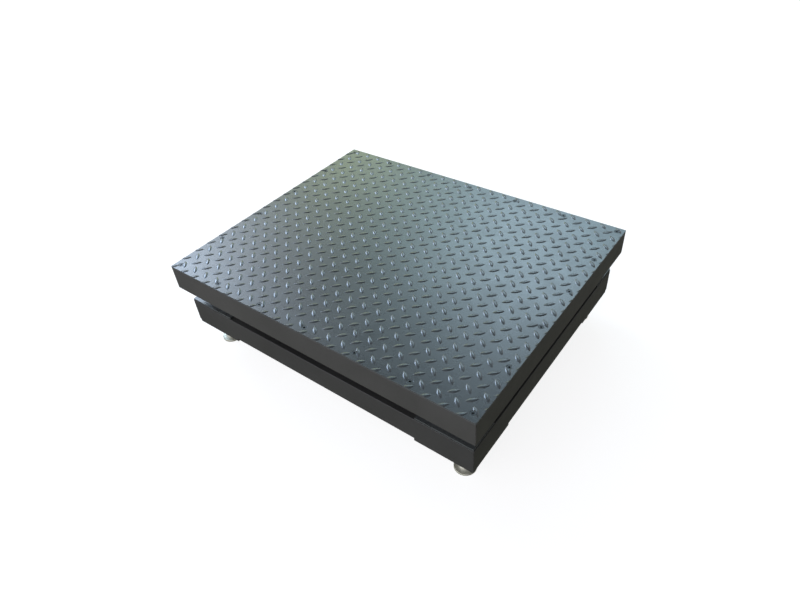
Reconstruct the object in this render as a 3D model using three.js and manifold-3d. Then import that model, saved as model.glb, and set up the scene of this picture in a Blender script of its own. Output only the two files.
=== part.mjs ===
// Double-deck floor scale for weighing animals: a tread-plate deck on a channel frame stands on four
// shear-beam load cells, which are bolted to a lower channel frame with four levelling feet.
// Millimetres. +X along the long side, +Y to the rear, +Z up, origin on the floor under the middle.
import * as THREE from 'three';
import { mergeVertices } from 'three/addons/utils/BufferGeometryUtils.js';
import Module from 'manifold-3d';

const wasm = await Module();
wasm.setup();

// ---- Driving dimensions ----
const DECK_LENGTH = 1200;
const DECK_WIDTH = 975;
const PLATE_THICKNESS = 6;
const DECK_RAIL_HEIGHT = 86;
const DECK_GAP = 68; // clear height between the two frames
const BASE_INSET_X = 19;
const BASE_INSET_Y = 25;
const BASE_RAIL_HEIGHT = 88;
const FOOT_PLATE_THICKNESS = 14;
const FOOT_HEIGHT = 94; // floor to the underside of the foot plates
const CHANNEL_WALL = 5;
const CHANNEL_FLANGE = 42;
const GAP = 0.3; // left between pieces that touch

// ---- Levels worked out from them ----
const FOOT_PLATE_TOP = FOOT_HEIGHT + FOOT_PLATE_THICKNESS;
const BASE_TOP = FOOT_PLATE_TOP + BASE_RAIL_HEIGHT;
const DECK_BOTTOM = BASE_TOP + DECK_GAP;
const DECK_RAIL_TOP = DECK_BOTTOM + DECK_RAIL_HEIGHT;
const BASE_LENGTH = DECK_LENGTH - 2 * BASE_INSET_X;
const BASE_WIDTH = DECK_WIDTH - 2 * BASE_INSET_Y;

// ---- Deck screws: countersunk heads along all four edges ----
const SCREW_EDGE = 24;
const SCREWS_PER_LONG_SIDE = 7;
const SCREWS_PER_SHORT_SIDE = 6;
const SCREW_HOLE_RADIUS = 4.5;
const SCREW_HEAD_RADIUS = 9;
const SCREW_SINK_DEPTH = 4.5;
const SCREW_SIDES = 10;

// ---- Stiffeners ----
const RIB_POSITIONS = [-345, -120, 120, 345];
const RIB_HEIGHT = 80;
const RIB_FLANGE = 40;
const RIB_WALL = 4;
const CROSS_MEMBER_X = 200;
const CROSS_MEMBER_HEIGHT = 76;
const CROSS_MEMBER_FLANGE = 40;
const CROSS_MEMBER_WALL = 4;

// ---- Load cells and what carries and loads them ----
const LOAD_X = 508; // load axis of a cell, from the middle
const LOAD_Y = 395;
const CELL_SIDE = 32;
const CELL_FREE_END = 15; // load bore to the free end
const CELL_FIXED_END = 115; // load bore to the bolted end
const CELL_LOAD_BORE_RADIUS = 8.6;
const CELL_BOLT_BORE_RADIUS = 6.5;
const CELL_BOLT_OFFSETS = [74, 100];
const CELL_POCKET_OFFSET = 40;
const CELL_POCKET_RADIUS = 11;
const CELL_WEB = 10;
const CELL_STUB_RADIUS = 6;
const CELL_STUB_LENGTH = 14;
const MOUNT_PLATE_THICKNESS = 6;
const MOUNT_PLATE_INNER_X = 386;
const MOUNT_PLATE_INNER_Y = 350;
const MOUNT_PLATE_EDGE = 2; // set back from the rail faces
const SPACER_THICKNESS = 3;
const SPACER_LENGTH = 56;
const SPACER_WIDTH = 34;
const BALL_RADIUS = 11;
const BALL_SHANK_RADIUS = 8;
const BALL_SHANK_DEPTH = 26;
const BALL_COLLAR_RADIUS = 13;
const BALL_COLLAR_HEIGHT = 4;
const BALL_HEIGHT = 10; // cell top to the ball's centre
const CUP_RADIUS = 22;
const CUP_CLEARANCE = 1; // socket radius over ball radius
const CUP_ENGAGEMENT = 10;
const CUP_CHAMFER = 2;
const CORNER_PLATE_SIZE = 160;
const CORNER_PLATE_THICKNESS = 8;

// ---- Foot plates and levelling feet ----
const FOOT_PLATE_LENGTH = 200;
const FOOT_PLATE_WIDTH = 200;
const FOOT_PLATE_EDGE = 2; // set back from the rail faces
const FOOT_INSET = 66; // foot axis, from both base edges
const THREAD_RADIUS = 9.8;
const THREAD_HOLE_RADIUS = 10.3;
const WELD_NUT_HEIGHT = 16;
const NUT_RADIUS = 17.3; // across the corners, halved
const JAM_NUT_HEIGHT = 10;
const STUD_TOP = 162;
const STUD_HEX_BOTTOM = 31.5;
const STUD_HEX_HEIGHT = 7;
const STUD_HEX_RADIUS = 14;
const STUD_NECK_RADIUS = 6;
const STUD_CHAMFER = 2;
const SWIVEL_HEIGHT = 20; // floor to the centre of the ball end
const SWIVEL_RADIUS = 9;
const SOCKET_RADIUS = 9.6;
const SOCKET_MOUTH_RADIUS = 8.4;
const PAD_RADIUS = 35;
const PAD_RIM_HEIGHT = 7;
const PAD_HUB_RADIUS = 16;
const PAD_HUB_FOOT = 15;
const PAD_HEIGHT = 28;
const PAD_CHAMFER = 1;

// ---- Junction box and cables ----
const BOX_LENGTH = 180; // along Y
const BOX_WIDTH = 110; // along X
const BOX_HEIGHT = 48;
const BOX_WALL = 4;
const LID_THICKNESS = 5;
const ENTRY_RADIUS = 8;
const ENTRY_SPREAD = 13; // cable entries either side of the box's middle
const ENTRY_HEIGHT = 24; // above the box's underside
const BOARD_LENGTH = 130; // summing board, along Y
const BOARD_WIDTH = 78;
const BOARD_THICKNESS = 2;
const BOARD_POST_RADIUS = 4;
const BOARD_POST_HEIGHT = 6;
const BOARD_POST_INSET = 6;
const TERMINAL_LENGTH = 22;
const TERMINAL_WIDTH = 10;
const TERMINAL_HEIGHT = 9;
const TERMINAL_OFFSET = 3; // from the board's middle line, or from its right edge
const GLAND_HEX_RADIUS = 12;
const GLAND_HEX_LENGTH = 6;
const GLAND_DOME_RADIUS = 9;
const GLAND_DOME_LENGTH = 16;
const GLAND_DOME_TAPER = 4;
const GLAND_THREAD_RADIUS = 7.6;
const GLAND_THREAD_LENGTH = 10;
const GLAND_BORE_RADIUS = 3.5;
const CABLE_RADIUS = 3;
const CABLE_SIDES = 8;
const CABLE_STEPS_SHORT = 22;
const CABLE_STEPS_LONG = 34;
const CABLE_RAIL_Y = 434; // its lane along the rail's top flange

const ROUND_SIDES = 16;
const ARC_STEPS = 4;
const PAD_SIDES = 20;
const HEX_SIDES = 6;

const CORNERS = [
  { name: 'front_left', sx: -1, sy: -1 },
  { name: 'front_right', sx: 1, sy: -1 },
  { name: 'rear_left', sx: -1, sy: 1 },
  { name: 'rear_right', sx: 1, sy: 1 },
];

function material(color, roughness, metalness) {
  return new THREE.MeshStandardMaterial({ color, roughness, metalness });
}

const MATERIALS = {
  deckPaint: () => material(0x76848c, 0.35, 0.4),
  framePaint: () => material(0x45474a, 0.5, 0.3),
  insidePaint: () => material(0x3a3c3f, 0.6, 0.2),
  nickel: () => material(0xc2c4c0, 0.3, 0.9),
  hardSteel: () => material(0x8d9094, 0.35, 0.9),
  zinc: () => material(0xb4b39a, 0.45, 0.7),
  boxGrey: () => material(0x9a9d9e, 0.5, 0.1),
  circuitBoard: () => material(0x1e6b3a, 0.5, 0),
  nylon: () => material(0x222426, 0.6, 0),
  cable: () => material(0x1f2022, 0.6, 0),
};

// ---- Helpers ----

/** Turn a closed geometry into a solid that can be joined and cut. */
function toSolid(geometry) {
  const bare = geometry.clone();
  bare.deleteAttribute('normal');
  bare.deleteAttribute('uv');
  const merged = mergeVertices(bare, 1e-3);
  const index = merged.index.array;
  const faces = [];
  for (let i = 0; i < index.length; i += 3) {
    const [a, b, c] = [index[i], index[i + 1], index[i + 2]];
    if (a !== b && b !== c && c !== a) faces.push(a, b, c);
  }
  return new wasm.Manifold(
    new wasm.Mesh({
      numProp: 3,
      vertProperties: new Float32Array(merged.attributes.position.array),
      triVerts: new Uint32Array(faces),
    }),
  );
}

/** Turn a solid back into a geometry. */
function toGeometry(solid) {
  const { vertProperties, triVerts } = solid.getMesh();
  const geometry = new THREE.BufferGeometry();
  geometry.setAttribute('position', new THREE.BufferAttribute(vertProperties, 3));
  geometry.setIndex(new THREE.BufferAttribute(triVerts, 1));
  return geometry;
}

function cut(geometry, ...tools) {
  let solid = toSolid(geometry);
  for (const tool of tools) solid = solid.subtract(toSolid(tool));
  return toGeometry(solid);
}

function join(geometry, ...others) {
  let solid = toSolid(geometry);
  for (const other of others) solid = solid.add(toSolid(other));
  return toGeometry(solid);
}

function piece(name, geometry, surface, position = [0, 0, 0], turn = 0) {
  const mesh = new THREE.Mesh(geometry, surface());
  mesh.name = name;
  mesh.position.set(...position);
  mesh.rotation.z = turn;
  return mesh;
}

/** Box between two values on each axis. */
function box([x0, x1], [y0, y1], [z0, z1]) {
  const geometry = new THREE.BoxGeometry(x1 - x0, y1 - y0, z1 - z0);
  return geometry.translate((x0 + x1) / 2, (y0 + y1) / 2, (z0 + z1) / 2);
}

/** Range on one axis from an outer edge inwards, on the side given by its sign. */
function span(side, outer, inner) {
  return side > 0 ? [inner, outer] : [-outer, -inner];
}

/** Upright cylinder or prism standing on z0. */
function upright(radius, z0, height, sides = ROUND_SIDES) {
  const geometry = new THREE.CylinderGeometry(radius, radius, height, sides);
  return geometry.rotateX(Math.PI / 2).translate(0, 0, z0 + height / 2);
}

/** Solid of revolution about Z, from radius and height pairs that run upwards from the axis. */
function turned(points, sides = ROUND_SIDES) {
  const profile = points.map(([radius, height]) => new THREE.Vector2(radius, height));
  return new THREE.LatheGeometry(profile, sides).rotateX(Math.PI / 2);
}

/** Points along a circular arc in a turned profile, from one angle to another in degrees. */
function arc(radius, height, fromAngle, toAngle, steps) {
  const points = [];
  for (let i = 0; i <= steps; i += 1) {
    const angle = THREE.MathUtils.degToRad(fromAngle + ((toAngle - fromAngle) * i) / steps);
    points.push([Math.max(0, radius * Math.cos(angle)), height + radius * Math.sin(angle)]);
  }
  return points;
}

/** C-section with its web on the left, as an outline: depth to the right, height upwards. */
function channelShape(height, flange, wall) {
  return new THREE.Shape([
    new THREE.Vector2(0, 0),
    new THREE.Vector2(flange, 0),
    new THREE.Vector2(flange, wall),
    new THREE.Vector2(wall, wall),
    new THREE.Vector2(wall, height - wall),
    new THREE.Vector2(flange, height - wall),
    new THREE.Vector2(flange, height),
    new THREE.Vector2(0, height),
  ]);
}

/**
 * Frame rail: a channel along X with its web facing -Y at y = -offset, mitred at both ends so that four
 * of them close a rectangle.
 */
function mitredRail(length, offset, height) {
  const shape = channelShape(height, CHANNEL_FLANGE, CHANNEL_WALL);
  const geometry = new THREE.ExtrudeGeometry(shape, { depth: length, bevelEnabled: false });
  const position = geometry.attributes.position;
  for (let i = 0; i < position.count; i += 1) {
    const depth = position.getX(i);
    const end = position.getZ(i) > length / 2 ? 1 : -1;
    position.setXYZ(i, end * (length / 2 - depth - GAP / Math.SQRT2), depth - offset, position.getY(i));
  }
  return geometry;
}

/** Straight channel along Y, centred on it, with its web on -X. */
function crossChannel(length, height, flange, wall) {
  const geometry = new THREE.ExtrudeGeometry(channelShape(height, flange, wall), {
    depth: length,
    bevelEnabled: false,
  });
  return geometry.translate(-flange / 2, 0, -length / 2).rotateX(Math.PI / 2);
}

/** Four mitred rails around a rectangle. */
function railFrame(prefix, length, width, height, bottom) {
  const sides = [
    { side: 'front', turn: 0, run: length, offset: width / 2 },
    { side: 'right', turn: Math.PI / 2, run: width, offset: length / 2 },
    { side: 'rear', turn: Math.PI, run: length, offset: width / 2 },
    { side: 'left', turn: -Math.PI / 2, run: width, offset: length / 2 },
  ];
  return sides.map(({ side, turn, run, offset }) =>
    piece(`${prefix}_${side}`, mitredRail(run, offset, height), MATERIALS.framePaint, [0, 0, bottom], turn),
  );
}

// ---- Deck ----

/** Centres of the deck screws, evenly spaced along each edge with one in every corner. */
function screwCentres() {
  const endX = DECK_LENGTH / 2 - SCREW_EDGE;
  const endY = DECK_WIDTH / 2 - SCREW_EDGE;
  const centres = [];
  for (let i = 0; i < SCREWS_PER_LONG_SIDE; i += 1) {
    const x = -endX + (2 * endX * i) / (SCREWS_PER_LONG_SIDE - 1);
    centres.push([x, -endY], [x, endY]);
  }
  for (let i = 1; i < SCREWS_PER_SHORT_SIDE - 1; i += 1) {
    const y = -endY + (2 * endY * i) / (SCREWS_PER_SHORT_SIDE - 1);
    centres.push([-endX, y], [endX, y]);
  }
  return centres;
}

/** Flat deck plate with a countersunk hole for each screw. */
function deckPlate() {
  const halfX = DECK_LENGTH / 2;
  const halfY = DECK_WIDTH / 2;
  const plate = box([-halfX, halfX], [-halfY, halfY], [GAP, PLATE_THICKNESS]);
  const overshoot = 1;
  const sink = turned(
    [
      [0, -overshoot],
      [SCREW_HOLE_RADIUS, -overshoot],
      [SCREW_HOLE_RADIUS, PLATE_THICKNESS - SCREW_SINK_DEPTH],
      [SCREW_HEAD_RADIUS, PLATE_THICKNESS],
      [SCREW_HEAD_RADIUS, PLATE_THICKNESS + overshoot],
      [0, PLATE_THICKNESS + overshoot],
    ],
    SCREW_SIDES,
  );
  const tools = screwCentres().map(([x, y]) => sink.clone().translate(x, y, 0));
  return piece('deck_plate', cut(plate, ...tools), MATERIALS.deckPaint, [0, 0, DECK_RAIL_TOP]);
}

/** Cross ribs that hold the plate up between the long rails. */
function deckRibs() {
  const length = DECK_WIDTH - 2 * (CHANNEL_FLANGE + GAP);
  const bottom = DECK_RAIL_TOP - GAP - RIB_HEIGHT;
  return RIB_POSITIONS.map((x, i) => {
    const rib = crossChannel(length, RIB_HEIGHT, RIB_FLANGE, RIB_WALL);
    return piece(`deck_rib_${i + 1}`, rib, MATERIALS.insidePaint, [x, 0, bottom]);
  });
}

/** Plate in each deck corner, on the rails' lower flanges, that passes the load to the cup below it. */
function deckCornerPlate({ name, sx, sy }) {
  const outerX = DECK_LENGTH / 2 - CHANNEL_WALL - GAP;
  const outerY = DECK_WIDTH / 2 - CHANNEL_WALL - GAP;
  const bottom = DECK_BOTTOM + CHANNEL_WALL + GAP;
  const plate = box(
    span(sx, outerX, outerX - CORNER_PLATE_SIZE),
    span(sy, outerY, outerY - CORNER_PLATE_SIZE),
    [bottom, bottom + CORNER_PLATE_THICKNESS],
  );
  return piece(`deck_corner_plate_${name}`, plate, MATERIALS.insidePaint);
}

// ---- Load cells ----

const MOUNT_PLATE_BOTTOM = BASE_TOP + GAP;
const SPACER_TOP = MOUNT_PLATE_BOTTOM + MOUNT_PLATE_THICKNESS + SPACER_THICKNESS;
const CELL_BOTTOM = SPACER_TOP + GAP;
const CELL_TOP = CELL_BOTTOM + CELL_SIDE;
const BALL_CENTRE = CELL_TOP + BALL_HEIGHT;

/** Cup under each deck corner plate, hollowed to sit over the ball. */
function loadCup({ name, sx, sy }) {
  const socket = BALL_RADIUS + CUP_CLEARANCE;
  const top = DECK_BOTTOM + CHANNEL_WALL;
  const bottom = BALL_CENTRE + BALL_RADIUS - CUP_ENGAGEMENT;
  const socketCentre = BALL_CENTRE + BALL_RADIUS + GAP - socket;
  const mouth = Math.sqrt(socket ** 2 - (bottom - socketCentre) ** 2);
  const mouthAngle = THREE.MathUtils.radToDeg(Math.asin((bottom - socketCentre) / socket));
  const profile = [
    ...arc(socket, socketCentre, 90, mouthAngle, ARC_STEPS).slice(0, -1),
    [mouth, bottom],
    [CUP_RADIUS - CUP_CHAMFER, bottom],
    [CUP_RADIUS, bottom + CUP_CHAMFER],
    [CUP_RADIUS, top],
    [0, top],
  ];
  return piece(`load_cup_${name}`, turned(profile), MATERIALS.hardSteel, [sx * LOAD_X, sy * LOAD_Y, 0]);
}

/** Ball stud: a threaded shank in the cell's load bore, a collar, and the ball that carries the deck. */
function ballStud({ name, sx, sy }) {
  const collar = CELL_TOP + GAP;
  const collarTop = collar + BALL_COLLAR_HEIGHT;
  const neckAngle = THREE.MathUtils.radToDeg(Math.asin((collarTop - BALL_CENTRE) / BALL_RADIUS));
  const profile = [
    [0, CELL_TOP - BALL_SHANK_DEPTH],
    [BALL_SHANK_RADIUS, CELL_TOP - BALL_SHANK_DEPTH],
    [BALL_SHANK_RADIUS, collar],
    [BALL_COLLAR_RADIUS, collar],
    [BALL_COLLAR_RADIUS, collarTop],
    ...arc(BALL_RADIUS, BALL_CENTRE, neckAngle, 90, ARC_STEPS + 1),
  ];
  return piece(`ball_stud_${name}`, turned(profile), MATERIALS.hardSteel, [sx * LOAD_X, sy * LOAD_Y, 0]);
}

/** Shear-beam load cell: load bore at the free end, two bolt bores at the other, gauge pockets between. */
function loadCell({ name, sx, sy }) {
  const half = CELL_SIDE / 2;
  const beam = box([-CELL_FIXED_END, CELL_FREE_END], [-half, half], [-half, half]);
  const bore = (radius, x) => upright(radius, -half - 1, CELL_SIDE + 2).translate(x, 0, 0);
  const loadBore = bore(CELL_LOAD_BORE_RADIUS, 0);
  const boltBores = CELL_BOLT_OFFSETS.map((offset) => bore(CELL_BOLT_BORE_RADIUS, -offset));
  const pockets = [-1, 1].map((side) => {
    const pocket = new THREE.CylinderGeometry(CELL_POCKET_RADIUS, CELL_POCKET_RADIUS, half, ROUND_SIDES);
    return pocket.translate(-CELL_POCKET_OFFSET, side * (CELL_WEB / 2 + half / 2), 0);
  });
  const stubLength = CELL_STUB_LENGTH + 1;
  const stub = new THREE.CylinderGeometry(CELL_STUB_RADIUS, CELL_STUB_RADIUS, stubLength, ROUND_SIDES);
  stub.rotateZ(Math.PI / 2).translate(1 - CELL_FIXED_END - stubLength / 2, 0, 0);
  const body = join(cut(beam, loadBore, ...boltBores, ...pockets), stub);
  const position = [sx * LOAD_X, sy * LOAD_Y, CELL_BOTTOM + half];
  return piece(`load_cell_${name}`, body, MATERIALS.nickel, position, sx > 0 ? 0 : Math.PI);
}

/** Plate across each base corner with a raised spacer under the cell's bolted end. */
function cellMountPlate({ name, sx, sy }) {
  const outerX = BASE_LENGTH / 2 - MOUNT_PLATE_EDGE;
  const outerY = BASE_WIDTH / 2 - MOUNT_PLATE_EDGE;
  const top = MOUNT_PLATE_BOTTOM + MOUNT_PLATE_THICKNESS;
  const plate = box(
    span(sx, outerX, MOUNT_PLATE_INNER_X),
    span(sy, outerY, MOUNT_PLATE_INNER_Y),
    [MOUNT_PLATE_BOTTOM, top],
  );
  const fixedEnd = LOAD_X - CELL_FIXED_END;
  const spacer = box(
    span(sx, fixedEnd + SPACER_LENGTH, fixedEnd),
    span(sy, LOAD_Y + SPACER_WIDTH / 2, LOAD_Y - SPACER_WIDTH / 2),
    [top - 1, SPACER_TOP],
  );
  const holes = CELL_BOLT_OFFSETS.map((offset) =>
    upright(CELL_BOLT_BORE_RADIUS, MOUNT_PLATE_BOTTOM - 1, SPACER_TOP - MOUNT_PLATE_BOTTOM + 2).translate(
      sx * (LOAD_X - offset),
      sy * LOAD_Y,
      0,
    ),
  );
  return piece(`cell_mount_plate_${name}`, cut(join(plate, spacer), ...holes), MATERIALS.insidePaint);
}

// ---- Base frame ----

const CROSS_MEMBER_BOTTOM = FOOT_PLATE_TOP + (BASE_RAIL_HEIGHT - CROSS_MEMBER_HEIGHT) / 2;
const CROSS_MEMBER_TOP = CROSS_MEMBER_BOTTOM + CROSS_MEMBER_HEIGHT;

function baseCrossMembers() {
  const length = BASE_WIDTH - 2 * (CHANNEL_WALL + GAP);
  return [
    { side: 'left', x: -CROSS_MEMBER_X },
    { side: 'right', x: CROSS_MEMBER_X },
  ].map(({ side, x }) =>
    piece(
      `base_cross_member_${side}`,
      crossChannel(length, CROSS_MEMBER_HEIGHT, CROSS_MEMBER_FLANGE, CROSS_MEMBER_WALL),
      MATERIALS.insidePaint,
      [x, 0, CROSS_MEMBER_BOTTOM],
    ),
  );
}

const FOOT_X = BASE_LENGTH / 2 - FOOT_INSET;
const FOOT_Y = BASE_WIDTH / 2 - FOOT_INSET;

/** Plate under each base corner, with the nut welded on it that the foot screws into. */
function footPlate({ name, sx, sy }) {
  const outerX = BASE_LENGTH / 2 - FOOT_PLATE_EDGE;
  const outerY = BASE_WIDTH / 2 - FOOT_PLATE_EDGE;
  const top = FOOT_PLATE_TOP - GAP;
  const plate = box(
    span(sx, outerX, outerX - FOOT_PLATE_LENGTH),
    span(sy, outerY, outerY - FOOT_PLATE_WIDTH),
    [FOOT_HEIGHT, top],
  );
  const nut = upright(NUT_RADIUS, top - 1, WELD_NUT_HEIGHT + 1, HEX_SIDES);
  nut.translate(sx * FOOT_X, sy * FOOT_Y, 0);
  const hole = upright(THREAD_HOLE_RADIUS, FOOT_HEIGHT - 1, FOOT_PLATE_THICKNESS + WELD_NUT_HEIGHT + 2);
  hole.translate(sx * FOOT_X, sy * FOOT_Y, 0);
  return piece(`foot_plate_${name}`, cut(join(plate, nut), hole), MATERIALS.framePaint);
}

// ---- Levelling feet ----

function jamNut({ name, sx, sy }) {
  const bottom = FOOT_HEIGHT - GAP - JAM_NUT_HEIGHT;
  const hexagon = upright(NUT_RADIUS, bottom, JAM_NUT_HEIGHT, HEX_SIDES);
  const hole = upright(THREAD_HOLE_RADIUS, bottom - 1, JAM_NUT_HEIGHT + 2);
  return piece(`jam_nut_${name}`, cut(hexagon, hole), MATERIALS.zinc, [sx * FOOT_X, sy * FOOT_Y, 0]);
}

/** Threaded stud with a hexagon for the spanner and a ball end that the pad swivels on. */
function footStud({ name, sx, sy }) {
  const neckHeight = Math.sqrt(SWIVEL_RADIUS ** 2 - STUD_NECK_RADIUS ** 2);
  const neckAngle = THREE.MathUtils.radToDeg(Math.atan2(neckHeight, STUD_NECK_RADIUS));
  const spindle = turned([
    ...arc(SWIVEL_RADIUS, SWIVEL_HEIGHT, -90, neckAngle, ARC_STEPS),
    [STUD_NECK_RADIUS, STUD_HEX_BOTTOM + 1],
    [THREAD_RADIUS, STUD_HEX_BOTTOM + 1],
    [THREAD_RADIUS, STUD_TOP - STUD_CHAMFER],
    [THREAD_RADIUS - STUD_CHAMFER, STUD_TOP],
    [0, STUD_TOP],
  ]);
  const hexagon = upright(STUD_HEX_RADIUS, STUD_HEX_BOTTOM, STUD_HEX_HEIGHT, HEX_SIDES);
  return piece(`foot_stud_${name}`, join(spindle, hexagon), MATERIALS.zinc, [sx * FOOT_X, sy * FOOT_Y, 0]);
}

/** Round pad with a hub whose socket holds the stud's ball end. */
function footPad({ name, sx, sy }) {
  const mouthAngle = THREE.MathUtils.radToDeg(Math.acos(SOCKET_MOUTH_RADIUS / SOCKET_RADIUS));
  const profile = [
    [0, 0],
    [PAD_RADIUS - PAD_CHAMFER, 0],
    [PAD_RADIUS, PAD_CHAMFER],
    [PAD_RADIUS, PAD_RIM_HEIGHT - 2 * PAD_CHAMFER],
    [PAD_RADIUS - 2 * PAD_CHAMFER, PAD_RIM_HEIGHT],
    [PAD_HUB_RADIUS + PAD_CHAMFER, PAD_HUB_FOOT],
    [PAD_HUB_RADIUS, PAD_HEIGHT - PAD_CHAMFER],
    [PAD_HUB_RADIUS - PAD_CHAMFER, PAD_HEIGHT],
    [SOCKET_MOUTH_RADIUS, PAD_HEIGHT],
    ...arc(SOCKET_RADIUS, SWIVEL_HEIGHT, mouthAngle, -90, ARC_STEPS),
  ];
  return piece(`foot_pad_${name}`, turned(profile, PAD_SIDES), MATERIALS.zinc, [sx * FOOT_X, sy * FOOT_Y, 0]);
}

// ---- Junction box ----

const BOX_BOTTOM = CROSS_MEMBER_TOP + GAP;
const ENTRY_Z = BOX_BOTTOM + ENTRY_HEIGHT;

/** Cylinder along an axis through the box wall, for a cable entry. */
function entryHole(x, y, alongX) {
  const hole = new THREE.CylinderGeometry(ENTRY_RADIUS, ENTRY_RADIUS, BOX_WALL + 2, ROUND_SIDES);
  if (alongX) hole.rotateZ(Math.PI / 2);
  return hole.translate(x, y, ENTRY_Z);
}

/** Open-topped box on the right cross member, with four cell entries and one outlet in its walls. */
function junctionBox() {
  const halfX = BOX_WIDTH / 2;
  const halfY = BOX_LENGTH / 2;
  const top = BOX_BOTTOM + BOX_HEIGHT;
  const shell = box([-halfX, halfX], [-halfY, halfY], [BOX_BOTTOM, top]);
  const hollow = box(
    [BOX_WALL - halfX, halfX - BOX_WALL],
    [BOX_WALL - halfY, halfY - BOX_WALL],
    [BOX_BOTTOM + BOX_WALL, top + 1],
  );
  const holes = [entryHole(halfX - BOX_WALL / 2, 0, true)];
  for (const { sx, sy } of CORNERS) {
    holes.push(entryHole(sx * ENTRY_SPREAD, sy * (halfY - BOX_WALL / 2), false));
  }
  return piece('junction_box', cut(shell, hollow, ...holes), MATERIALS.boxGrey, [CROSS_MEMBER_X, 0, 0]);
}

function junctionBoxLid() {
  const halfX = BOX_WIDTH / 2;
  const halfY = BOX_LENGTH / 2;
  const bottom = BOX_BOTTOM + BOX_HEIGHT + GAP;
  const lid = box([-halfX, halfX], [-halfY, halfY], [bottom, bottom + LID_THICKNESS]);
  return piece('junction_box_lid', lid, MATERIALS.boxGrey, [CROSS_MEMBER_X, 0, 0]);
}

/** Board that sums the cells' signals: four posts, a terminal block for each cell and one for the outlet. */
function summingBoard() {
  const floor = BOX_BOTTOM + BOX_WALL + GAP;
  const bottom = floor + BOARD_POST_HEIGHT;
  const top = bottom + BOARD_THICKNESS;
  const halfX = BOARD_WIDTH / 2;
  const halfY = BOARD_LENGTH / 2;
  const blockZ = [top - 1, top + TERMINAL_HEIGHT];
  const parts = [];
  for (const { sx, sy } of CORNERS) {
    const post = upright(BOARD_POST_RADIUS, floor, BOARD_POST_HEIGHT + 1);
    parts.push(post.translate(sx * (halfX - BOARD_POST_INSET), sy * (halfY - BOARD_POST_INSET), 0));
    const blockX = span(sx, TERMINAL_OFFSET + TERMINAL_LENGTH, TERMINAL_OFFSET);
    parts.push(box(blockX, span(sy, halfY - 1, halfY - 1 - TERMINAL_WIDTH), blockZ));
  }
  const outer = halfX - TERMINAL_OFFSET;
  const halfBlock = TERMINAL_LENGTH / 2;
  parts.push(box([outer - TERMINAL_WIDTH, outer], [-halfBlock, halfBlock], blockZ));
  const board = box([-halfX, halfX], [-halfY, halfY], [bottom, top]);
  return piece('summing_board', join(board, ...parts), MATERIALS.circuitBoard, [CROSS_MEMBER_X, 0, 0]);
}

/** Gland in the box's outlet, for the lead to the indicator. */
function outletGland() {
  const start = GAP; // off the box's outer face
  const body = turned([
    [GLAND_BORE_RADIUS, -GLAND_THREAD_LENGTH],
    [GLAND_THREAD_RADIUS, -GLAND_THREAD_LENGTH],
    [GLAND_THREAD_RADIUS, start],
    [GLAND_DOME_RADIUS, start],
    [GLAND_DOME_RADIUS, start + GLAND_DOME_LENGTH - GLAND_DOME_TAPER],
    [GLAND_DOME_RADIUS - GLAND_DOME_TAPER, start + GLAND_DOME_LENGTH],
    [GLAND_BORE_RADIUS, start + GLAND_DOME_LENGTH],
    [GLAND_BORE_RADIUS, -GLAND_THREAD_LENGTH],
  ]);
  const hexagon = upright(GLAND_HEX_RADIUS, start, GLAND_HEX_LENGTH, HEX_SIDES);
  const bore = upright(GLAND_BORE_RADIUS, start - 1, GLAND_HEX_LENGTH + 2);
  const gland = join(body, cut(hexagon, bore)).rotateY(Math.PI / 2);
  return piece('outlet_gland', gland, MATERIALS.nylon, [CROSS_MEMBER_X + BOX_WIDTH / 2, 0, ENTRY_Z]);
}

// ---- Cell cables ----

/** Round cable of even section along a smooth curve through the points. */
function cable(name, points, steps) {
  const curve = new THREE.CatmullRomCurve3(
    points.map((point) => new THREE.Vector3(...point)),
    false,
    'centripetal',
  );
  const section = new THREE.Shape();
  for (let i = 0; i < CABLE_SIDES; i += 1) {
    const angle = (2 * Math.PI * i) / CABLE_SIDES;
    const corner = [CABLE_RADIUS * Math.cos(angle), CABLE_RADIUS * Math.sin(angle)];
    if (i === 0) section.moveTo(...corner);
    else section.lineTo(...corner);
  }
  section.closePath();
  return piece(name, new THREE.ExtrudeGeometry(section, { steps, extrudePath: curve }), MATERIALS.cable);
}

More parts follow.
